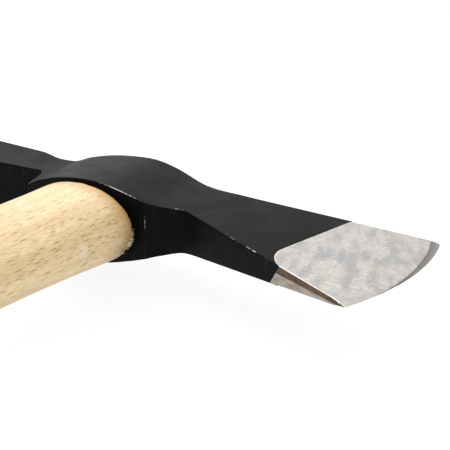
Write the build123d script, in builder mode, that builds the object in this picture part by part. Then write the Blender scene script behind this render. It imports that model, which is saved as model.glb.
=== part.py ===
# Hand axe-adze: a forged head on a straight beech handle, held by one wooden and two steel wedges.
# Millimetres. The handle runs along +Y from its butt, the cheeks of the axe bit face +Z and -Z,
# the axe bit points to +X and the adze blade to -X. The origin is the centre of the butt's flat.
from build123d import *
from math import atan, cos, radians, sin
import os

os.makedirs("parts", exist_ok=True)

# handle, from the flat of the butt at Y = 0 to the end of the tenon
handle_length = 400.0
tenon_proud = 2.0
butt_round = 5.0
shoulder_round = 4.5

# eye of the head, along the handle
eye_depth = 46.8
eye_back = handle_length - tenon_proud
eye_front = eye_back - eye_depth
eye_middle = (eye_front + eye_back) / 2
eye_half_width = 29.75
profile_front = 320.0
profile_back = 410.0
eye_flat_back = 15.0
mouth = (20.0, 12.0)
mouth_back = (21.2, 13.2)

# axe arm: tilted towards the hand, with straight flared sides and a curved cutting edge
axe_tilt = radians(12.4)
axe_root = (4.4, 383.4)
axe_neck = 46.0
axe_neck_front = (50.0, -17.9)
axe_neck_back = (axe_neck, 14.6)
neck_curve = ((36.4, 353.9), (42.2, 357.3))
neck_curve_ends = ((1, 0.42), (1, -0.477))
axe_chord = 126.0
axe_chord_sides = (-35.6, 34.0)
axe_reach = 131.0
axe_corner_round = 2.0
neck_half_height = 8.8
cheek_start = 53.0
cheek_end = 134.0
cheek_half_height = 8.0
cheek_slope = 0.0986
ground_depth = 0.2
edge_slope = 0.22
edge_half_height = 0.03

# boundary of the ground flats, as lengths along the arm and distances across it: straight from the
# arm's back side to a rounded turn, then out over the front side
ground_back = (95.0, 45.0)
ground_turn = (90.5, -17.5)
ground_turn_end = (98.5, -29.4)
ground_front = (115.5, -50.0)
ground_end = 143.0

# adze arm: its blade lies across the handle, flares in Z and is ground on its outer face
adze_reach = 172.0
adze_edge_half_width = 30.0
adze_edge_sag = 3.0

# sizes that only need to reach past the head
past_head = 150.0
past_cheek = 12.0
past_edge = 2.0
past_eye = 5.0
bevel_inward = 14.0
bevel_half_arc = 30

# wedges
tenon_root = 8.0
kerf_width = 2.4
kerf_depth = 38.0
wooden_wedge_thick = 5.5
steel_wedge_length = 22.0
steel_wedge_width = 17.0
steel_wedge_thick = 3.2
steel_wedge_tip = 1.0
steel_wedge_spread = 8.5
barb_count = 3
barb_first = 4.0
barb_pitch = 5.0
barb_depth = 0.6

# handle: Y, offset in X, half-width and half-height of its oval section
handle_sections = [
    (0.0, 0.0, 20.5, 16.0),
    (20.0, 0.0, 21.0, 16.4),
    (60.0, 0.0, 18.8, 14.6),
    (120.0, -0.4, 17.6, 13.6),
    (200.0, -1.0, 18.2, 13.8),
    (260.0, -1.4, 19.8, 14.5),
    (300.0, -1.2, 21.6, 15.3),
    (330.0, -0.5, 23.9, 16.3),
    (eye_front, 0.0, 27.0, 17.3),
]


def axe_point(along, across):
    """Point on the axe arm, from its length along the arm and its distance across it."""
    x = axe_root[0] + along * cos(axe_tilt) + across * sin(axe_tilt)
    y = axe_root[1] - along * sin(axe_tilt) + across * cos(axe_tilt)
    return (x, y)


def cheek_height(along):
    """Half-thickness of the axe arm, which tapers in a straight line to the edge."""
    return cheek_half_height - cheek_slope * (along - cheek_start)


# half-heights of the head where straight lines from front to back cross the planes of the eye's
# two faces: X and half-height at the front face, X and half-height at the back face
adze_lines = [
    (-176.0, 30.3, -176.0, 30.3),
    (-150.0, 27.6, -150.0, 33.9),
    (-130.0, 23.6, -130.0, 34.6),
    (-110.0, 18.1, -110.0, 32.3),
    (-95.0, 14.0, -95.0, 28.6),
    (-80.0, 10.9, -80.0, 23.9),
    (-65.7, 9.5, -65.7, 19.5),
    (-54.0, 9.5, -54.0, 16.1),
    (-46.5, 10.3, -49.0, 13.6),
    (-38.6, 11.8, -42.5, 12.3),
]
eye_lines = [
    (-29.75, 11.7, -36.5, 13.0),
    (-25.7, 13.5, -32.5, 14.3),
    (-21.2, 14.9, -27.5, 15.3),
    (-16.5, 16.1, -22.0, 16.1),
    (-9.5, 17.2, -14.5, 16.7),
    (0.0, 17.7, -5.0, 17.1),
    (9.2, 17.1, 4.0, 16.8),
    (16.2, 15.6, 10.0, 15.7),
    (22.2, 14.0, 15.8, 14.0),
    (28.5, 12.1, 21.5, 12.1),
    (33.5, 10.6, 29.0, 10.4),
    (39.0, 9.5, 41.5, 9.4),
]


def cheek_x(along, y):
    """X of the line across the axe arm at a length along it, in the plane at Y."""
    return axe_root[0] + (along + (y - axe_root[1]) * sin(axe_tilt)) / cos(axe_tilt)


def line_point(line, y):
    """Where a line of the hump or adze crosses the upright plane at Y."""
    x_front, h_front, x_back, h_back = line
    part = (y - eye_front) / eye_depth
    return (x_front + (x_back - x_front) * part, h_front + (h_back - h_front) * part)


lines = adze_lines + eye_lines
spread_x = [line[0] for line in lines] + [cheek_x(axe_neck, eye_middle), cheek_x(cheek_start, eye_middle)]
spread = [(x - spread_x[0]) / (spread_x[-1] - spread_x[0]) for x in spread_x]
edge_sag = axe_reach - axe_chord
edge_radius = (axe_chord_sides[1] ** 2 + edge_sag**2) / (2 * edge_sag)


def across(y):
    """Upright plane across the handle at Y: its x is +X and its y is +Z."""
    return Plane(origin=(0, y, 0), x_dir=(1, 0, 0), z_dir=(0, -1, 0))


def eye_ellipse(y):
    """Half-width and half-height of the eye at Y: it opens evenly towards the back."""
    part = (y - eye_front) / eye_depth
    return (mouth[0] + (mouth_back[0] - mouth[0]) * part, mouth[1] + (mouth_back[1] - mouth[1]) * part)


def tapered_oval(start, end):
    """Solid with the eye's own section between two planes across the handle."""
    with BuildPart() as oval:
        for y in (start, end):
            with BuildSketch(across(y)):
                Ellipse(*eye_ellipse(y))
        loft()
    return oval


eye_core = tapered_oval(eye_front - past_eye, eye_back + past_eye)
tenon = tapered_oval(eye_front - tenon_root, handle_length)

slope_angle = atan(cheek_slope)
arm_x = Vector(cos(axe_tilt), -sin(axe_tilt), 0)
up = Vector(0, 0, 1)
ground_plane = Plane(
    origin=Vector(*axe_point(cheek_start, 0), cheek_half_height - ground_depth),
    x_dir=arm_x * cos(slope_angle) - up * sin(slope_angle),
    z_dir=arm_x * sin(slope_angle) + up * cos(slope_angle),
)

with BuildPart() as ground_flat:
    with BuildSketch(ground_plane):
        with BuildLine():
            points = (ground_back, ground_turn, ground_turn_end, ground_front)
            back, turn, turn_end, front = [(along - cheek_start, side) for along, side in points]
            end = ground_end - cheek_start
            Line(back, turn)
            TangentArc(turn, turn_end, tangent=(0, -1))
            Polyline(turn_end, front, (end, front[1]), (end, back[1]), back)
        make_face()
    extrude(amount=past_cheek)

with BuildPart() as edge_bevel:
    centre = axe_point(axe_reach - edge_radius, 0)
    first = arm_x.rotate(Axis.Z, -bevel_half_arc)
    with BuildSketch(Plane(origin=(*centre, 0), x_dir=first, z_dir=first.rotate(Axis.Z, 90))):
        with BuildLine():
            Polyline(
                (edge_radius - bevel_inward, -edge_half_height - bevel_inward * edge_slope),
                (edge_radius + past_edge, -edge_half_height + past_edge * edge_slope),
                (edge_radius + past_edge, -past_cheek),
                (edge_radius - bevel_inward, -past_cheek),
                close=True,
            )
        make_face()
    revolve(axis=Axis(origin=(*centre, 0), direction=(0, 0, 1)), revolution_arc=2 * bevel_half_arc)

with BuildPart() as head:
    # top and bottom surfaces: straight from front to back, curved along the head
    for y in (profile_front, profile_back):
        with BuildSketch(across(y)):
            with BuildLine():
                points = [Vector(*line_point(line, y)) for line in lines]
                points.append(Vector(cheek_x(axe_neck, y), neck_half_height))
                points.append(Vector(cheek_x(cheek_start, y), cheek_half_height))
                tip = Vector(cheek_x(cheek_end, y), cheek_height(cheek_end))
                ends = [points[1] - points[0], tip - points[-1]]
                Line((points[0].X, 0), points[0])
                add(Edge.make_spline(points, tangents=ends, parameters=spread))
                Line(points[-1], tip)
                Line(tip, (tip.X, 0))
                mirror(about=Plane.XZ)
            make_face()
    loft(ruled=True)
    # plan outline
    with BuildSketch() as outline:
        with BuildLine():
            front_left = (-eye_half_width, eye_front)
            front_right = (eye_half_width, eye_front)
            neck_front = axe_point(*axe_neck_front)
            neck_back = axe_point(*axe_neck_back)
            corner_front = axe_point(axe_chord, axe_chord_sides[0])
            corner_back = axe_point(axe_chord, axe_chord_sides[1])
            Line(front_left, front_right)
            Spline(front_right, *neck_curve, neck_front, tangents=neck_curve_ends)
            Line(neck_front, corner_front)
            ThreePointArc(corner_front, axe_point(axe_reach, 0), corner_back)
            Line(corner_back, neck_back)
            back_right = (eye_flat_back, eye_back)
            back_left = (-eye_flat_back, eye_back)
            Spline(neck_back, (34.0, 391.6), back_right, tangents=((-1, 0), (-1, 0)))
            Line(back_right, back_left)
            Spline(back_left, (-41.0, 393.4), (-65.7, 388.5), (-95, 380), (-130, 365.8), (-150, 358))
            Line((-150, 358), (-adze_reach, 348.6))
            Line((-adze_reach, 348.6), (-adze_reach, 348.2))
            Line((-adze_reach, 348.2), (-150, 353.0))
            Spline((-150, 353.0), (-110, 361.8), (-65.7, 370.4), (-49, 373.0))
            Spline((-49, 373.0), (-39.3, 370.2), (-34.2, 359.5), front_left)
        make_face()
        fillet(outline.vertices().sort_by(Axis.X)[-1:], axe_corner_round)
    extrude(amount=past_head, both=True, mode=Mode.INTERSECT)
    # curved cutting edge of the adze, seen along the handle
    with BuildSketch(across(eye_front)):
        with BuildLine():
            edge_low = (adze_edge_sag - adze_reach, -adze_edge_half_width)
            edge_high = (adze_edge_sag - adze_reach, adze_edge_half_width)
            ThreePointArc(edge_low, (-adze_reach, 0), edge_high)
            past = (past_head, adze_edge_half_width)
            Polyline(edge_high, past, (past_head, -adze_edge_half_width), edge_low)
        make_face()
    extrude(amount=past_head, both=True, mode=Mode.INTERSECT)
    # flats ground on both cheeks of the axe bit, and the steeper bevel at its edge
    add(ground_flat.part, mode=Mode.SUBTRACT)
    add(ground_flat.part.mirror(Plane.XY), mode=Mode.SUBTRACT)
    add(edge_bevel.part, mode=Mode.SUBTRACT)
    add(edge_bevel.part.mirror(Plane.XY), mode=Mode.SUBTRACT)
    # eye
    add(eye_core.part, mode=Mode.SUBTRACT)

head.part.label = "head"
export_step(head.part, "parts/head.step")

with BuildPart() as handle_body:
    for y, side_offset, half_width, half_height in handle_sections:
        with BuildSketch(across(y)):
            with Locations((side_offset, 0)):
                Ellipse(half_width, half_height)
    loft()
    fillet(handle_body.faces().sort_by(Axis.Y)[0].edges(), butt_round)
    fillet(handle_body.faces().sort_by(Axis.Y)[-1].edges(), shoulder_round)

# wooden wedge, driven into a saw kerf along the eye and trimmed to the shape of the tenon
with BuildPart() as wedge_prism:
    with BuildSketch(Plane.YZ):
        with BuildLine():
            Polyline(
                (handle_length - kerf_depth, kerf_width / 2),
                (handle_length, wooden_wedge_thick / 2),
                (handle_length, -wooden_wedge_thick / 2),
                (handle_length - kerf_depth, -kerf_width / 2),
                close=True,
            )
        make_face()
    extrude(amount=eye_half_width, both=True)

steel_wedges = {}
for name, side in (("steel_wedge_left", -1), ("steel_wedge_right", 1)):
    driven = Plane(origin=(side * steel_wedge_spread, handle_length, 0), x_dir=(1, 0, 0), z_dir=(0, -1, 0))
    with BuildPart() as steel_wedge:
        with BuildSketch(driven):
            Rectangle(steel_wedge_thick, steel_wedge_width)
        with BuildSketch(driven.offset(steel_wedge_length)):
            Rectangle(steel_wedge_tip, steel_wedge_width)
        loft()
        # barbs along both narrow sides
        for step in range(barb_count):
            depth = barb_first + step * barb_pitch
            with BuildSketch(driven.offset(depth)):
                with GridLocations(0, steel_wedge_width, 1, 2):
                    Rectangle(2 * steel_wedge_thick, 2 * barb_depth)
            extrude(amount=barb_pitch / 3, mode=Mode.SUBTRACT)
    steel_wedge.part.label = name
    export_step(steel_wedge.part, f"parts/{name}.step")
    steel_wedges[name] = steel_wedge.part

with BuildPart() as wooden_wedge:
    add(wedge_prism.part)
    add(tenon.part, mode=Mode.INTERSECT)
    add(steel_wedges.values(), mode=Mode.SUBTRACT)
wooden_wedge.part.label = "wooden_wedge"
export_step(wooden_wedge.part, "parts/wooden_wedge.step")

with BuildPart() as handle:
    add(handle_body.part)
    add(tenon.part)
    add(wedge_prism.part, mode=Mode.SUBTRACT)
    add(steel_wedges.values(), mode=Mode.SUBTRACT)
handle.part.label = "handle"
export_step(handle.part, "parts/handle.step")
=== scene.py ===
# Looks of a hand axe-adze: a black lacquered forging with bare ground bits on a beech handle.
# Metres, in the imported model's own frame: the handle runs along +Y, the axe bit points to +X.
import math
import random

import bmesh
import bpy
from mathutils import Matrix, Vector, noise


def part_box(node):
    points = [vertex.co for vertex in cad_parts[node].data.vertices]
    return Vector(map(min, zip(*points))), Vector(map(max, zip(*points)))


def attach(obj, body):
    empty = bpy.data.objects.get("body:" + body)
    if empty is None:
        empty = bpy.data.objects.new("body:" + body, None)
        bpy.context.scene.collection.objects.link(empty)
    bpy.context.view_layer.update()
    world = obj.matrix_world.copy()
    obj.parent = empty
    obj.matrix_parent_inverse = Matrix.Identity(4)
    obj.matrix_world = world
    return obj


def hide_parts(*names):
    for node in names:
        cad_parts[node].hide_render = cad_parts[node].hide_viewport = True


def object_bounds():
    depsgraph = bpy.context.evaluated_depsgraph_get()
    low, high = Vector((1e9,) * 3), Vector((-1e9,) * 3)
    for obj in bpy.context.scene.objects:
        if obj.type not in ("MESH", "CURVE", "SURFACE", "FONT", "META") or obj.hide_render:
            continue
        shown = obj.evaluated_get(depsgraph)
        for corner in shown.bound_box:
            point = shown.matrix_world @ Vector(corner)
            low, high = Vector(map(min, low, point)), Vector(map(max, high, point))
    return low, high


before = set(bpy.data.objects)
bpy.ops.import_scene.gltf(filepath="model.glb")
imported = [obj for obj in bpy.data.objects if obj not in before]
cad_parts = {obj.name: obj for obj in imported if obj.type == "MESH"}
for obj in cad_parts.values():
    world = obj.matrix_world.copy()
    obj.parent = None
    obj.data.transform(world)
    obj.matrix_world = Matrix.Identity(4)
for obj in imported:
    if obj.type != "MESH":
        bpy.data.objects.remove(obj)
cad_low, cad_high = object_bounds()
random.seed(11)

MM = 0.001
SAME_PLANE = 0.002 * MM
head_low, head_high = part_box("head")

# the head's own plan, as it is forged
EYE_DEPTH = 46.8 * MM
EYE_FRONT = head_high.y - EYE_DEPTH
EYE_CORNER = Vector((29.75 * MM, EYE_FRONT, 0))
AXE_TILT = math.radians(12.4)
AXE_ROOT = Vector((4.4 * MM, head_high.y - 14.6 * MM, 0))
ALONG = Vector((math.cos(AXE_TILT), -math.sin(AXE_TILT), 0))
ACROSS = Vector((math.sin(AXE_TILT), math.cos(AXE_TILT), 0))
UP = Vector((0, 0, 1))
CHEEK_SLOPE = 0.0986
CHEEK_START = 53 * MM
CHEEK_HALF_HEIGHT = 8 * MM
GROUND_DEPTH = 0.2 * MM

# lengths along the axe arm, counted from its root: where the side walls can start, the ground
# flats, the wholly bare walls and the crisp edge, and the two ends of the lacquer's step
WALLS_START = 40 * MM
FLATS_START = 80 * MM
BARE_START = 120 * MM
EDGE_START = 124 * MM
STEP_FRONT = 98.3 * MM
STEP_BACK = 94.1 * MM

# the cutting edge is an arc; the honed bevel narrows towards the front, and its inner line would
# meet the edge HONE_MEETS in front of the arm's own line
EDGE_REACH = 131 * MM
EDGE_RADIUS = 118.1 * MM
EDGE_CENTRE = AXE_ROOT + ALONG * (EDGE_REACH - EDGE_RADIUS)
HONE_GROWTH = 0.062
HONE_MEETS = 23 * MM
GRIND_TURN = math.radians(14)

# planes across the bit's side walls: one ends the lacquer, the other starts the dark strip of forge
# scale, darkened further with painted shade
LACQUER_END = AXE_ROOT + ALONG * 95.6 * MM
LACQUER_SLANT = ALONG - UP * 0.605
STRIP_START = AXE_ROOT + ALONG * 98 * MM + UP * 0.5 * MM
STRIP_SLANT = UP + ALONG * 0.04

# the adze bit, which points to -X: its bevel, and where its crisp edges start
ADZE_BEVEL = -150.5 * MM
ADZE_CRISP = -148 * MM

# the handle's shoulder: half its section, and where it is torn and hollowed, as turns round it
HALF_WIDTH = 27 * MM
HALF_HEIGHT = 17.3 * MM
RIM_HALF_WIDTH = 25.6 * MM
RIM_HALF_HEIGHT = 15.9 * MM
TORN_TURN = -0.5
HOLLOW_TURN = -1.15
SHOULDER_START = 334 * MM
# how far from the eye the brown bruise and its painted shade reach
BRUISE_AND_SHADE_REACH = 12 * MM
FRAY_REACH = 17 * MM
SCUFF = Vector((22.5 * MM, EYE_FRONT - 29 * MM, -0.5 * MM))


# ---------------------------------------------------------------- mesh helpers


def arm_place(point):
    """A point's distance along the axe arm, and its distance across it towards the back."""
    out = point - AXE_ROOT
    return out.dot(ALONG), out.dot(ACROSS)


def cheek_depth(point):
    """How far a point lies above the ground flats of the axe bit, counted from either cheek."""
    along = arm_place(point)[0]
    flat = CHEEK_HALF_HEIGHT - GROUND_DEPTH - CHEEK_SLOPE * (along - CHEEK_START)
    return (abs(point.z) - flat) / math.sqrt(1 + CHEEK_SLOPE**2)


def cut(bm, faces, start, normal):
    """Cuts faces with a plane through start, and returns the faces left on both of its sides."""
    chosen = dict.fromkeys(faces)
    for face in faces:
        chosen.update(dict.fromkeys(face.edges))
        chosen.update(dict.fromkeys(face.verts))
    made = bmesh.ops.bisect_plane(
        bm, geom=list(chosen), dist=SAME_PLANE, plane_co=start, plane_no=normal
    )
    return [part for part in made["geom"] if isinstance(part, bmesh.types.BMFace)]


def finished(name, bm, materials):
    """Puts a bmesh in the scene as a smooth-shaded piece with its materials."""
    mesh = bpy.data.meshes.new(name)
    bm.to_mesh(mesh)
    bm.free()
    for material in materials:
        mesh.materials.append(material)
    mesh.shade_smooth()
    piece = bpy.data.objects.new(name, mesh)
    bpy.context.scene.collection.objects.link(piece)
    return piece


# ---------------------------------------------------------------- material helpers


def linear(code):
    """Linear colour of an sRGB hex code."""
    parts = [int(code[i : i + 2], 16) / 255 for i in (0, 2, 4)]
    return [c / 12.92 if c <= 0.04045 else ((c + 0.055) / 1.055) ** 2.4 for c in parts] + [1.0]


def node(tree, kind, inputs=None, **settings):
    """Adds a shader node. Inputs are values or other nodes' outputs, by socket name or number."""
    made = tree.nodes.new("ShaderNode" + kind)
    for name, value in settings.items():
        setattr(made, name, value)
    for socket, value in (inputs or {}).items():
        if isinstance(value, bpy.types.NodeSocket):
            tree.links.new(value, made.inputs[socket])
        else:
            made.inputs[socket].default_value = value
    return made


def started(name, **shader_values):
    """A new material, its node tree, its shader with plain values set, and its object coordinates."""
    material = bpy.data.materials.new(name)
    material.use_nodes = True
    tree = material.node_tree
    shader = tree.nodes["Principled BSDF"]
    for socket, value in shader_values.items():
        shader.inputs[socket.replace("_", " ")].default_value = value
    return material, tree, shader, node(tree, "TexCoord").outputs["Object"]


# ---------------------------------------------------------------- materials


def black_lacquer():
    """Dip lacquer over a forged blank: satin black, faintly orange-peeled, with dull clouds and
    hair scratches, and bare bright steel where the lacquer has come off the edges, which at some
    places is also a painted highlight along the edge."""
    material, tree, shader, place = started("black_lacquer_on_forging", Specular_IOR_Level=0.06)
    clouds = node(
        tree, "TexNoise", {"Vector": place, "Scale": 1 / (14 * MM), "Detail": 4, "Roughness": 0.6}
    )
    peel = node(
        tree, "TexNoise", {"Vector": place, "Scale": 1 / (1.1 * MM), "Detail": 3, "Roughness": 0.55}
    )
    pits = node(tree, "TexNoise", {"Vector": place, "Scale": 1 / (4.5 * MM), "Detail": 2})
    # hair scratches: long thin streaks in two directions
    marks = []
    for turn, seed in ((0.35, 3.0), (-0.9, 8.0)):
        lay = node(
            tree,
            "Mapping",
            {
                "Vector": place,
                "Location": (seed, seed, 0),
                "Rotation": (0, 0, turn),
                "Scale": (11 * MM, 0.45 * MM, 9 * MM),
            },
            vector_type="TEXTURE",
        )
        streak = node(tree, "TexNoise", {"Vector": lay.outputs[0], "Scale": 1, "Detail": 0})
        marks.append(
            node(
                tree,
                "MapRange",
                {"Value": streak.outputs[0], "From Min": 0.76, "From Max": 0.84, "To Max": 0.45},
            )
        )
    scratch = node(tree, "Math", {0: marks[0].outputs[0], 1: marks[1].outputs[0]}, operation="MAXIMUM")
    dull = node(
        tree,
        "Mix",
        {0: clouds.outputs[0], 6: linear("060606"), 7: linear("0B0B0B")},
        data_type="RGBA",
    )
    scratched = node(
        tree, "Mix", {0: scratch.outputs[0], 6: dull.outputs[2], 7: linear("262626")}, data_type="RGBA"
    )
    # edges bared of lacquer, with painted highlights along them, broken up so that the bare line comes
    # and goes
    rubbed_and_highlight = node(tree, "Attribute", attribute_name="rubbed_and_highlight")
    patchy = node(
        tree, "TexNoise", {"Vector": place, "Scale": 1 / (1.1 * MM), "Detail": 4, "Roughness": 0.7}
    )
    worn_and_highlight = node(tree, "Math", {0: rubbed_and_highlight.outputs["Fac"], 1: patchy.outputs[0]}, operation="ADD")
    bare = node(tree, "MapRange", {"Value": worn_and_highlight.outputs[0], "From Min": 0.96, "From Max": 1.16})
    colour = node(
        tree,
        "Mix",
        {0: bare.outputs[0], 6: scratched.outputs[2], 7: linear("A8A49D")},
        data_type="RGBA",
    )
    gloss = node(
        tree,
        "MapRange",
        {
            "Value": clouds.outputs[0],
            "From Min": 0.3,
            "From Max": 0.7,
            "To Min": 0.42,
            "To Max": 0.54,
        },
    )
    tree.links.new(colour.outputs[2], shader.inputs["Base Color"])
    tree.links.new(bare.outputs[0], shader.inputs["Metallic"])
    tree.links.new(gloss.outputs[0], shader.inputs["Roughness"])
    rough = node(tree, "Bump", {"Height": pits.outputs[0], "Distance": 0.05 * MM, "Strength": 0.5})
    skin = node(
        tree,
        "Bump",
        {
            "Height": peel.outputs[0],
            "Distance": 0.012 * MM,
            "Strength": 0.6,
            "Normal": rough.outputs[0],
        },
    )
    tree.links.new(skin.outputs[0], shader.inputs["Normal"])
    return material


def ground_steel():
    """Carbon steel ground on a belt: bright and satin, with fine streaks and grit, the soft bands
    that a chattering wheel leaves, warm clouds, and a honed bevel at the axe's edge, darkened with a
    painted reflection."""
    material, tree, shader, place = started("belt_ground_steel", Metallic=1.0)
    lay = {}
    for name, size in (
        ("streak", (3.2, 0.4, 3)),
        ("band", (3.3, 13, 8)),
        ("cloud", (12, 9, 9)),
        ("grit", (1.1, 0.7, 1)),
    ):
        turned = node(
            tree,
            "Mapping",
            {
                "Vector": place,
                "Location": AXE_ROOT,
                "Rotation": (0, 0, GRIND_TURN),
                "Scale": [side * MM for side in size],
            },
            vector_type="TEXTURE",
        )
        pattern = node(tree, "TexNoise", {"Vector": turned.outputs[0], "Scale": 1, "Detail": 3})
        lay[name] = pattern.outputs[0]
    # each layer's colour comes in where its pattern is high, and never past its own share
    colour = linear("BAB8B5")
    for name, low, high, most, code in (
        ("streak", 0.32, 0.68, 1.0, "DAD8D4"),
        ("band", 0.42, 0.62, 0.75, "A8A7A6"),
        ("grit", 0.5, 0.7, 0.6, "9D958C"),
        ("cloud", 0.45, 0.7, 0.45, "D1CBBF"),
    ):
        share = node(
            tree, "MapRange", {"Value": lay[name], "From Min": low, "From Max": high, "To Max": most}
        )
        colour = node(
            tree, "Mix", {0: share.outputs[0], 6: colour, 7: linear(code)}, data_type="RGBA"
        ).outputs[2]
    gloss = node(
        tree,
        "MapRange",
        {"Value": lay["streak"], "From Min": 0.3, "From Max": 0.7, "To Min": 0.3, "To Max": 0.46},
    )
    # the honed bevel: outside an arc that runs closer to the cutting edge towards its front corner
    radius = node(tree, "VectorMath", {0: place, 1: EDGE_CENTRE}, operation="DISTANCE")
    side = node(tree, "VectorMath", {0: place, 1: ACROSS}, operation="DOT_PRODUCT")
    reach = node(
        tree,
        "Math",
        {0: side.outputs["Value"], 1: HONE_GROWTH, 2: radius.outputs["Value"]},
        operation="MULTIPLY_ADD",
    )
    inner = EDGE_RADIUS + HONE_GROWTH * (AXE_ROOT.dot(ACROSS) - HONE_MEETS)
    ragged = node(tree, "TexNoise", {"Vector": place, "Scale": 1 / (2.5 * MM), "Detail": 3})
    uneven = node(
        tree, "Math", {0: ragged.outputs[0], 1: 0.5 * MM, 2: reach.outputs[0]}, operation="MULTIPLY_ADD"
    )
    honed = node(
        tree,
        "MapRange",
        {
            "Value": uneven.outputs[0],
            "From Min": inner + 0.1 * MM,
            "From Max": inner + 0.5 * MM,
            "To Max": 0.85,
        },
    )
    # painted dark reflection on the honed bevel: darkest along its inner line, paler towards the edge
    fading = node(
        tree,
        "MapRange",
        {"Value": uneven.outputs[0], "From Min": inner + 0.2 * MM, "From Max": inner + 2.6 * MM},
    )
    bevel_painted_reflection = node(
        tree, "Mix", {0: fading.outputs[0], 6: linear("57504A"), 7: linear("8E8984")}, data_type="RGBA"
    )
    finish = node(
        tree, "Mix", {0: honed.outputs[0], 6: colour, 7: bevel_painted_reflection.outputs[2]}, data_type="RGBA"
    )
    tree.links.new(finish.outputs[2], shader.inputs["Base Color"])
    tree.links.new(gloss.outputs[0], shader.inputs["Roughness"])
    waves = node(tree, "Bump", {"Height": lay["band"], "Distance": 0.05 * MM, "Strength": 0.35})
    lines = node(
        tree,
        "Bump",
        {"Height": lay["streak"], "Distance": 0.01 * MM, "Strength": 0.5, "Normal": waves.outputs[0]},
    )
    tree.links.new(lines.outputs[0], shader.inputs["Normal"])
    return material


def burr_with_painted_highlight():
    """Freshly cut steel at the rims of the ground flats, painted as a thin line brighter than the
    flats: a painted highlight along the step.
    """
    material, tree, shader, place = started("fresh_cut_steel_painted_highlight", Metallic=0.9, Roughness=0.35)
    nicks = node(tree, "TexNoise", {"Vector": place, "Scale": 1 / (1.5 * MM), "Detail": 3})
    share = node(tree, "MapRange", {"Value": nicks.outputs[0], "From Min": 0.4, "From Max": 0.7})
    colour = node(
        tree,
        "Mix",
        {0: share.outputs[0], 6: linear("FAF6EC"), 7: linear("D9D2C4")},
        data_type="RGBA",
    )
    tree.links.new(colour.outputs[2], shader.inputs["Base Color"])
    return material


def bare_wall_steel():
    """Bare side of the bit, roughly ground: dull grey with a beige cast and grit lines along it."""
    material, tree, shader, place = started("rough_ground_steel", Metallic=0.85, Roughness=0.5)
    lay = node(
        tree,
        "Mapping",
        {"Vector": place, "Rotation": (0, 0, -AXE_TILT), "Scale": (6 * MM, 2 * MM, 0.5 * MM)},
        vector_type="TEXTURE",
    )
    lines = node(tree, "TexNoise", {"Vector": lay.outputs[0], "Scale": 1, "Detail": 3})
    share = node(tree, "MapRange", {"Value": lines.outputs[0], "From Min": 0.35, "From Max": 0.65})
    colour = node(
        tree,
        "Mix",
        {0: share.outputs[0], 6: linear("8F8780"), 7: linear("B5ADA7")},
        data_type="RGBA",
    )
    tree.links.new(colour.outputs[2], shader.inputs["Base Color"])
    bump = node(tree, "Bump", {"Height": lines.outputs[0], "Distance": 0.03 * MM, "Strength": 0.5})
    tree.links.new(bump.outputs[0], shader.inputs["Normal"])
    return material


def forge_scale_and_shade():
    """Strip of the bit's side that the wheel missed: brown-black forging oxide, dull and mottled, its
    darkness partly painted shade under the cheek's edge.
    """
    material, tree, shader, place = started("forge_scale_and_shade", Roughness=0.6, Specular_IOR_Level=0.3)
    blotch = node(
        tree, "TexNoise", {"Vector": place, "Scale": 1 / (2.5 * MM), "Detail": 5, "Roughness": 0.65}
    )
    share = node(tree, "MapRange", {"Value": blotch.outputs[0], "From Min": 0.35, "From Max": 0.65})
    colour = node(
        tree,
        "Mix",
        {0: share.outputs[0], 6: linear("43352A"), 7: linear("665243")},
        data_type="RGBA",
    )
    tree.links.new(colour.outputs[2], shader.inputs["Base Color"])
    bump = node(tree, "Bump", {"Height": blotch.outputs[0], "Distance": 0.05 * MM, "Strength": 0.6})
    tree.links.new(bump.outputs[0], shader.inputs["Normal"])
    return material


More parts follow.
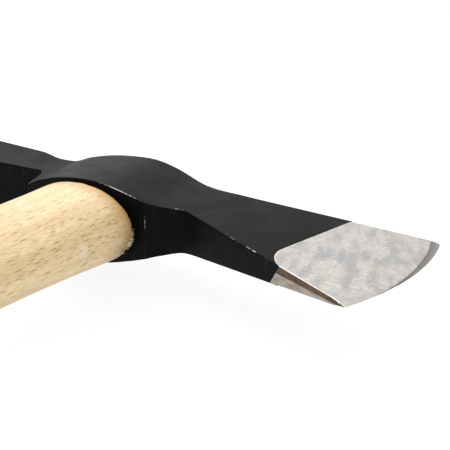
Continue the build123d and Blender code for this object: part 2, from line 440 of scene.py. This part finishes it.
def beech():
    """Sanded, unvarnished beech: cream with soft streaks and growth rings, fine grain, tan ray flecks
    that lie along it, a pale scuff, and a brown bruise on the shoulder, deepened towards the eye with
    painted shade, frayed where it tore, with hollows painted dark as shade."""
    material, tree, shader, place = started(
        "sanded_beech", Roughness=0.5, Specular_IOR_Level=0.45, Sheen_Weight=0.08, Sheen_Roughness=0.5
    )
    lay = {}
    for name, size, offset in (
        ("streak", (2.4, 70, 2.4), 0.0),
        ("ring", (9, 240, 9), 0.3),
        ("fibre", (0.35, 14, 0.35), 0.6),
        ("fine", (0.55, 3.5, 0.55), 0.7),
    ):
        turned = node(
            tree,
            "Mapping",
            {
                "Vector": place,
                "Location": (offset, offset, offset),
                "Scale": [side * MM for side in size],
            },
            vector_type="TEXTURE",
        )
        pattern = node(tree, "TexNoise", {"Vector": turned.outputs[0], "Scale": 1, "Detail": 3})
        lay[name] = pattern.outputs[0]
    # ray flecks: thin lenses in the wood, cut by the surface, in two sizes
    flecks = []
    for size, offset, reach in (((1.2, 10.0, 1.2), 0.17, 0.27), ((0.85, 8.5, 0.85), 0.53, 0.24)):
        turned = node(
            tree,
            "Mapping",
            {
                "Vector": place,
                "Location": (offset, offset, offset),
                "Scale": [side * MM for side in size],
            },
            vector_type="TEXTURE",
        )
        cells = node(tree, "TexVoronoi", {"Vector": turned.outputs[0], "Scale": 1, "Randomness": 0.85})
        lens = node(
            tree,
            "MapRange",
            {"Value": cells.outputs["Distance"], "From Min": reach, "From Max": reach * 0.45},
        )
        flecks.append(lens.outputs[0])
    fleck = node(tree, "Math", {0: flecks[0], 1: flecks[1]}, operation="MAXIMUM").outputs[0]
    # each layer's colour comes in where its pattern is high, and never past its own share
    colour = linear("E5CFA6")
    for pattern, low, high, most, code in (
        (lay["streak"], 0.3, 0.72, 1.0, "D5BB8D"),
        (lay["ring"], 0.45, 0.7, 0.7, "C8AC80"),
        (lay["fine"], 0.46, 0.68, 0.5, "BC955C"),
        (fleck, 0.0, 1.0, 0.75, "A3763C"),
    ):
        share = node(
            tree, "MapRange", {"Value": pattern, "From Min": low, "From Max": high, "To Max": most}
        )
        colour = node(
            tree, "Mix", {0: share.outputs[0], 6: colour, 7: linear(code)}, data_type="RGBA"
        ).outputs[2]
    # a pale scuff on the handle's right side, a little in front of the eye
    reach = node(tree, "VectorMath", {0: place, 1: SCUFF}, operation="DISTANCE")
    broken = node(
        tree, "TexNoise", {"Vector": place, "Scale": 1 / (1.3 * MM), "Detail": 4, "Roughness": 0.7}
    )
    scattered = node(
        tree,
        "Math",
        {0: broken.outputs[0], 1: -9 * MM, 2: reach.outputs["Value"]},
        operation="MULTIPLY_ADD",
    )
    share = node(
        tree,
        "MapRange",
        {
            "Value": scattered.outputs[0],
            "From Min": -0.8 * MM,
            "From Max": -2.6 * MM,
            "To Max": 0.25,
        },
    )
    scuffed = node(
        tree, "Mix", {0: share.outputs[0], 6: colour, 7: linear("F0E7D6")}, data_type="RGBA"
    )
    # the shoulder's brown near the eye: a bruise in the wood, and painted shade darkening it where the
    # handle meets the head
    bruise_and_shade = node(tree, "Attribute", attribute_name="bruise_and_shade")
    bruise_and_shade_colour = node(
        tree,
        "Mix",
        {0: bruise_and_shade.outputs["Fac"], 6: scuffed.outputs[2], 7: linear("AC8140")},
        data_type="RGBA",
    )
    # torn wood shows pale broken fibres, with painted shade as dark brown in the hollows between them
    frayed = node(tree, "Attribute", attribute_name="frayed")
    torn = node(
        tree, "TexNoise", {"Vector": place, "Scale": 1 / (0.9 * MM), "Detail": 4, "Roughness": 0.7}
    )
    share = node(tree, "MapRange", {"Value": torn.outputs[0], "From Min": 0.42, "From Max": 0.66})
    shreds_and_shade = node(
        tree,
        "Mix",
        {0: share.outputs[0], 6: linear("735434"), 7: linear("C4A880")},
        data_type="RGBA",
    )
    colour = node(
        tree,
        "Mix",
        {0: frayed.outputs["Fac"], 6: bruise_and_shade_colour.outputs[2], 7: shreds_and_shade.outputs[2]},
        data_type="RGBA",
    )
    tree.links.new(colour.outputs[2], shader.inputs["Base Color"])
    pores = node(tree, "Bump", {"Height": fleck, "Distance": 0.04 * MM, "Strength": 0.4}, invert=True)
    fibres = node(
        tree,
        "Bump",
        {"Height": lay["fibre"], "Distance": 0.03 * MM, "Strength": 0.5, "Normal": pores.outputs[0]},
    )
    tree.links.new(fibres.outputs[0], shader.inputs["Normal"])
    return material


def beech_fibre():
    """Torn beech fibre: duller than the sanded face and a little greyer."""
    material, tree, shader, place = started("torn_beech", Roughness=0.8, Specular_IOR_Level=0.2)
    shade = node(tree, "TexNoise", {"Vector": place, "Scale": 1 / (1.2 * MM), "Detail": 2})
    share = node(tree, "MapRange", {"Value": shade.outputs[0], "From Min": 0.35, "From Max": 0.65})
    colour = node(
        tree,
        "Mix",
        {0: share.outputs[0], 6: linear("B59673"), 7: linear("E3D3BA")},
        data_type="RGBA",
    )
    tree.links.new(colour.outputs[2], shader.inputs["Base Color"])
    return material


def wedge_wood():
    """Wedge of hardwood with close straight grain, darker than the handle so that it shows."""
    material, tree, shader, place = started("hardwood_wedge", Roughness=0.6, Specular_IOR_Level=0.3)
    lay = node(
        tree,
        "Mapping",
        {"Vector": place, "Scale": (1.2 * MM, 20 * MM, 0.5 * MM)},
        vector_type="TEXTURE",
    )
    grain = node(tree, "TexNoise", {"Vector": lay.outputs[0], "Scale": 1, "Detail": 4})
    share = node(tree, "MapRange", {"Value": grain.outputs[0], "From Min": 0.35, "From Max": 0.65})
    colour = node(
        tree,
        "Mix",
        {0: share.outputs[0], 6: linear("A9794A"), 7: linear("C99B67")},
        data_type="RGBA",
    )
    tree.links.new(colour.outputs[2], shader.inputs["Base Color"])
    bump = node(tree, "Bump", {"Height": grain.outputs[0], "Distance": 0.08 * MM, "Strength": 0.6})
    tree.links.new(bump.outputs[0], shader.inputs["Normal"])
    return material


def mild_steel():
    """Cold cropped mild steel of the small wedges: grey, dented and a little oxidised."""
    material, tree, shader, place = started("cropped_mild_steel", Metallic=1.0)
    dents = node(tree, "TexVoronoi", {"Vector": place, "Scale": 1 / (2.2 * MM)}, feature="SMOOTH_F1")
    stain = node(tree, "TexNoise", {"Vector": place, "Scale": 1 / (2.5 * MM), "Detail": 5})
    share = node(tree, "MapRange", {"Value": stain.outputs[0], "From Min": 0.4, "From Max": 0.7})
    colour = node(
        tree,
        "Mix",
        {0: share.outputs[0], 6: linear("A8A5A0"), 7: linear("6F665C")},
        data_type="RGBA",
    )
    gloss = node(
        tree,
        "MapRange",
        {
            "Value": stain.outputs[0],
            "From Min": 0.35,
            "From Max": 0.7,
            "To Min": 0.35,
            "To Max": 0.6,
        },
    )
    tree.links.new(colour.outputs[2], shader.inputs["Base Color"])
    tree.links.new(gloss.outputs[0], shader.inputs["Roughness"])
    bump = node(
        tree, "Bump", {"Height": dents.outputs["Distance"], "Distance": 0.15 * MM, "Strength": 0.6}
    )
    tree.links.new(bump.outputs[0], shader.inputs["Normal"])
    return material


# ---------------------------------------------------------------- head

LACQUER, GROUND, BURR_HIGHLIGHT, BARE, SCALE_AND_SHADE = range(5)

# the break along sharp edges, and which edges are sharp enough for it
BREAK = 0.28 * MM
BREAK_LENGTH = 3 * MM
SHARP_TURN = math.radians(28)
CORNER_TURN = math.radians(12)
CORNER_RADIUS = 14 * MM
CORNER_WIDTH = 0.5 * MM
RIM = 0.25 * MM
HONED_WIDTH = 1.5 * MM
LEVEL_TURN = 0.03
STEP_MARGIN = 0.9 * MM

# how far the lacquer has come off the edges: a little all over, and more round some places, each with
# its radius; at those places the bare line is also a painted highlight
RUBBED_ALL_OVER = 0.12
RUBBED_AND_HIGHLIGHTS = [
    (Vector((17.5, 351, 15)) * MM, 15 * MM, 0.5),
    (Vector((30, 351, 2.5)) * MM, 8 * MM, 0.38),
    (Vector((42, 358, 9)) * MM, 6 * MM, 0.42),
    (Vector((70, 346, 6.4)) * MM, 9 * MM, 0.36),
    (Vector((80.5, 340, 5.4)) * MM, 5 * MM, 0.46),
    (Vector((20, 398, -14)) * MM, 14 * MM, 0.4),
    (Vector((-110, 355, 20)) * MM, 22 * MM, 0.36),
    (Vector((-60, 388, -18)) * MM, 16 * MM, 0.36),
]


def rub_and_highlight(point):
    """How far an edge is bared of lacquer at a point, with its painted highlight, where 0 would be not
    at all.
    """
    spots = [
        bare * max(0.0, 1 - ((point - place).length / radius) ** 2) for place, radius, bare in RUBBED_AND_HIGHLIGHTS
    ]
    return max(spots) + RUBBED_ALL_OVER


def sharp(edge):
    """Whether an edge is one that is broken by a small round."""
    middle = (edge.verts[0].co + edge.verts[1].co) / 2
    beside = abs(middle.x - EYE_CORNER.x) < CORNER_WIDTH
    at_corner = beside and (middle - EYE_CORNER).length < CORNER_RADIUS
    least = CORNER_TURN if at_corner else SHARP_TURN
    if not edge.is_manifold or edge.calc_face_angle() < least:
        return False
    if middle.x < ADZE_CRISP or arm_place(middle)[0] > EDGE_START:
        return False
    return all(f.material_index != BURR_HIGHLIGHT for v in edge.verts for f in v.link_faces)


def ground_flats(bm):
    """The ground faces of the axe bit."""
    return [
        f
        for f in bm.faces
        if f.material_index == GROUND and arm_place(f.calc_center_median())[0] > FLATS_START
    ]


def forged_head():
    """The forging: crisp edges broken by a small round, bits ground bare, sides bare at the bit."""
    bm = bmesh.new()
    bm.from_mesh(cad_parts["head"].data)
    bmesh.ops.remove_doubles(bm, verts=bm.verts[:], dist=0.02 * MM)
    bmesh.ops.dissolve_limit(
        bm, angle_limit=math.radians(0.3), verts=bm.verts[:], edges=bm.edges[:]
    )

    for face in bm.faces:
        centre = face.calc_center_median()
        along = arm_place(centre)[0]
        depth = cheek_depth(centre)
        upright = abs(face.normal.z) < 0.5
        face.material_index = LACQUER
        if along > FLATS_START:
            if abs(face.normal.z) > 0.9 and depth < 0.1 * GROUND_DEPTH:
                face.material_index = GROUND
            elif along > BARE_START and upright:
                face.material_index = BARE
            elif 0.1 * GROUND_DEPTH < depth < 0.9 * GROUND_DEPTH and upright:
                face.material_index = BURR_HIGHLIGHT
        if centre.x < ADZE_BEVEL and upright:
            face.material_index = GROUND

    # side walls of the axe bit: a slanted line ends the lacquer, another starts the unground strip of
    # forge scale, darkened with painted shade on the front wall's upper part
    walls = [
        f
        for f in bm.faces
        if abs(f.normal.z) < 0.3
        and arm_place(f.calc_center_median())[0] > WALLS_START
        and f.material_index not in (GROUND, BURR_HIGHLIGHT)
    ]
    walls = cut(bm, walls, LACQUER_END, LACQUER_SLANT)
    walls = cut(bm, walls, STRIP_START, STRIP_SLANT)
    for face in walls:
        centre = face.calc_center_median()
        if (centre - LACQUER_END).dot(LACQUER_SLANT) > 0:
            in_strip = (centre - STRIP_START).dot(STRIP_SLANT) > 0
            in_front = arm_place(centre)[1] < 0
            face.material_index = SCALE_AND_SHADE if in_strip and in_front else BARE

    # short edges on both sides of the ends of the lacquer's step, which stay sharp
    for along in (STEP_FRONT, STEP_BACK):
        for beside in (-STEP_MARGIN, STEP_MARGIN):
            cut(bm, bm.faces[:], AXE_ROOT + ALONG * (along + beside), ALONG)

    # break the sharp edges, in lengths short enough for the wear to come and go along them
    for edge in [e for e in bm.edges if sharp(e)]:
        cuts = int(edge.calc_length() / BREAK_LENGTH)
        if cuts:
            bmesh.ops.subdivide_edges(bm, edges=[edge], cuts=cuts)
    made = bmesh.ops.bevel(
        bm,
        geom=[e for e in bm.edges if sharp(e)],
        offset=BREAK,
        affect="EDGES",
        segments=2,
        profile=0.5,
        material=-1,
        clamp_overlap=False,
    )
    # how far each edge round is bared of lacquer, which at the listed places is also a painted
    # highlight
    rubbed_and_highlight = bm.loops.layers.float.new("rubbed_and_highlight")
    for face in made["faces"]:
        near_flat = abs(cheek_depth(face.calc_center_median())) < 1.5 * GROUND_DEPTH
        if near_flat and face.material_index == GROUND:
            face.material_index = BARE
        for corner in face.loops:
            corner[rubbed_and_highlight] = rub_and_highlight(corner.vert.co)

    # a rim all round each ground flat, except along the honed cutting edge, painted bright as a
    # highlight
    flats = dict.fromkeys(ground_flats(bm))
    level = {}
    for edge in dict.fromkeys(e for f in flats for e in f.edges):
        inside = all(f in flats for f in edge.link_faces)
        if inside and edge.calc_face_angle() < LEVEL_TURN:
            level[edge] = True
    bmesh.ops.dissolve_edges(bm, edges=list(level), use_verts=False)
    rims = bmesh.ops.inset_region(
        bm, faces=ground_flats(bm), thickness=RIM, use_boundary=True, use_even_offset=True
    )
    for face in rims["faces"]:
        out = face.calc_center_median() - EDGE_CENTRE
        out.z = 0
        if out.length < EDGE_RADIUS - HONED_WIDTH:
            face.material_index = BURR_HIGHLIGHT
    materials = [black_lacquer(), ground_steel(), burr_with_painted_highlight(), bare_wall_steel(), forge_scale_and_shade()]
    piece = finished("head_forging", bm, materials)
    piece.data.set_sharp_from_angle(angle=math.radians(50))
    flatten = piece.modifiers.new("flat_faces_stay_flat", "WEIGHTED_NORMAL")
    flatten.keep_sharp = True
    flatten.weight = 60
    return piece


# ---------------------------------------------------------------- handle


def turned_handle():
    """The beech handle, sanded a little uneven, with a brown bruise on its shoulder against the eye,
    deepened there with painted shade.
    """
    bm = bmesh.new()
    bm.from_mesh(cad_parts["handle"].data)
    bmesh.ops.remove_doubles(bm, verts=bm.verts[:], dist=0.01 * MM)
    shoulder = [
        e
        for e in bm.edges
        if all(SHOULDER_START < v.co.y < EYE_FRONT + 0.5 * MM for v in e.verts)
    ]
    bmesh.ops.subdivide_edges(bm, edges=shoulder, cuts=1, use_grid_fill=True)
    bmesh.ops.triangulate(bm, faces=[f for f in bm.faces if len(f.verts) > 3])
    bm.normal_update()

    bruise_and_shade = bm.verts.layers.float.new("bruise_and_shade")
    frayed = bm.verts.layers.float.new("frayed")
    for vertex in bm.verts:
        spot = vertex.co.copy()
        if spot.y > EYE_FRONT - 0.05 * MM:
            continue
        # both are 1 against the eye and fall to 0 away from it
        near = max(0.0, 1 - (EYE_FRONT - spot.y) / BRUISE_AND_SHADE_REACH)
        wide = max(0.0, 1 - (EYE_FRONT - spot.y) / FRAY_REACH)
        # both are 1 at their own turn, on the lower right of the section, and fall to 0 round it
        turn = math.atan2(spot.z / HALF_HEIGHT, spot.x / HALF_WIDTH)
        torn = max(0.0, 1 - abs(turn - TORN_TURN) / 0.9)
        hollow = max(0.0, 1 - abs(turn - HOLLOW_TURN) / 0.7)
        lumps = noise.noise(spot / (22 * MM)) * 0.10 * MM
        dents = noise.noise(spot / (2.6 * MM)) * (0.12 + 0.75 * torn) * near * MM
        eaten = (0.7 * torn + 1.3 * hollow) * MM * near**2
        if 4 * MM < spot.y < EYE_FRONT:
            vertex.co = spot + vertex.normal * (dents + min(lumps, 0) - eaten)
        vertex.co.y = min(vertex.co.y, EYE_FRONT - 0.02 * MM)
        # brown bruise and painted shade, strongest against the eye where the shoulder meets the head
        vertex[bruise_and_shade] = min(1.0, 1.3 * near**1.3 * (1 - 0.3 * torn))
        vertex[frayed] = min(1.0, wide * torn * (1.5 + noise.noise(spot / (3 * MM))))
    return finished("handle_beech", bm, [beech()])


def torn_fibres():
    """Wood torn off the shoulder where the head was driven on: flat flakes that still lie along the
    grain, in a few ragged bunches, and short fuzz standing off among them."""
    flakes = 150
    fuzz = 270
    bm = bmesh.new()
    bunches = [random.gauss(-0.62, 0.36) for i in range(11)]
    for i in range(flakes + fuzz):
        flake = i < flakes
        turn = random.choice(bunches) + random.gauss(0, 0.07 if flake else 0.2)
        back = random.uniform(0.3, 4.2 if flake else 3.0)
        rim = Vector((RIM_HALF_WIDTH * math.cos(turn), 0, RIM_HALF_HEIGHT * math.sin(turn)))
        outward = Vector((math.cos(turn), 0, 1.5 * math.sin(turn))).normalized()
        round_rim = Vector((-outward.z, 0, outward.x))
        # the rounded shoulder narrows towards the eye
        start = Vector((0, EYE_FRONT - back * MM, 0)) + rim * (1 - 0.018 * (3.6 - back))
        if flake:
            lift = random.uniform(0.0, 0.45)
            lean = random.gauss(-0.4, 0.5)
            aim = Vector((0, 1, 0)) + outward * lift + round_rim * lean
            length = random.uniform(1.0, 2.8) * MM
            radius = random.uniform(0.25, 0.6) * MM
            thin = 0.3
        else:
            lift = random.uniform(0.2, 1.8)
            lean = random.gauss(-0.3, 1.1)
            aim = outward + Vector((0, lift, 0)) + round_rim * lean
            length = random.triangular(0.3, 1.5, 0.5) * MM
            radius = random.uniform(0.04, 0.1) * MM
            thin = 0.8
        aim.normalize()
        flat = (outward - aim * outward.dot(aim)).normalized()
        turned = Matrix((aim.cross(flat), flat, aim)).transposed().to_4x4()
        flattened = Matrix.Diagonal((1, thin, 1, 1))
        made = bmesh.ops.create_cone(
            bm,
            cap_ends=True,
            segments=5,
            radius1=radius,
            radius2=radius * 0.2,
            depth=length,
            matrix=Matrix.Translation(start + aim * length * 0.3) @ turned @ flattened,
        )
        for vertex in made["verts"]:
            vertex.co.y = min(vertex.co.y, EYE_FRONT - 0.03 * MM)
    return finished("torn_beech_fibres", bm, [beech_fibre()])


# ---------------------------------------------------------------- assembly

head = forged_head()
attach(head, "root")
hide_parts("head")

handle = turned_handle()
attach(handle, "root")
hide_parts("handle")

fibres = torn_fibres()
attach(fibres, "root")

for name, material in (
    ("wooden_wedge", wedge_wood()),
    ("steel_wedge_left", mild_steel()),
    ("steel_wedge_right", mild_steel()),
):
    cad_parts[name].material_slots[0].material = material


# ---------------------------------------------------------------- studio

FLOOR_SIZE = 30.0
FLOOR_GAP = 0.2 * MM
BOX_OFFSET = Vector((-0.45, 0.25, 0.86))
BOX_WIDTH = 0.9
BOX_POWER = 9.5
LENS = 51.2
SENSOR_WIDTH = 36
CAMERA_OFFSET = Vector((166.2, -195.4, 82.3)) * MM
CAMERA_DIP = math.radians(18.64)
CAMERA_TURN = math.radians(27.4)


def studio():
    """Pale floor under the tool, soft light all round with a broad box overhead, and the camera."""
    bm = bmesh.new()
    bmesh.ops.create_grid(bm, x_segments=1, y_segments=1, size=FLOOR_SIZE)
    bmesh.ops.translate(bm, vec=(0, 0, cad_low.z - FLOOR_GAP), verts=bm.verts[:])
    material, tree, shader, place = started(
        "white_studio_floor", Roughness=0.7, Specular_IOR_Level=0.2, Emission_Strength=0.9
    )
    shader.inputs["Base Color"].default_value = linear("626262")
    shader.inputs["Emission Color"].default_value = linear("FFFFFF")
    floor = finished("studio_floor", bm, [material])

    world = bpy.data.worlds.new("studio_world")
    bpy.context.scene.world = world
    world.use_nodes = True
    back = world.node_tree.nodes["Background"]
    back.inputs["Color"].default_value = linear("FFFFFF")
    back.inputs["Strength"].default_value = 1.0

    light = bpy.data.lights.new("overhead_box", "AREA")
    light.shape = "SQUARE"
    light.size = BOX_WIDTH
    light.energy = BOX_POWER
    lamp = bpy.data.objects.new("overhead_box", light)
    lamp.location = (head_low + head_high) / 2 + BOX_OFFSET
    lamp.rotation_euler = (-BOX_OFFSET).to_track_quat("-Z", "Y").to_euler()
    bpy.context.scene.collection.objects.link(lamp)

    camera = bpy.data.objects.new("camera", bpy.data.cameras.new("camera"))
    camera.data.lens = LENS
    camera.data.sensor_width = SENSOR_WIDTH
    camera.location = Vector((0, EYE_FRONT, 0)) + CAMERA_OFFSET
    camera.rotation_euler = (math.radians(90) - CAMERA_DIP, 0, CAMERA_TURN)
    bpy.context.scene.collection.objects.link(camera)
    bpy.context.scene.camera = camera
    bpy.context.scene.view_settings.view_transform = "Standard"


studio()
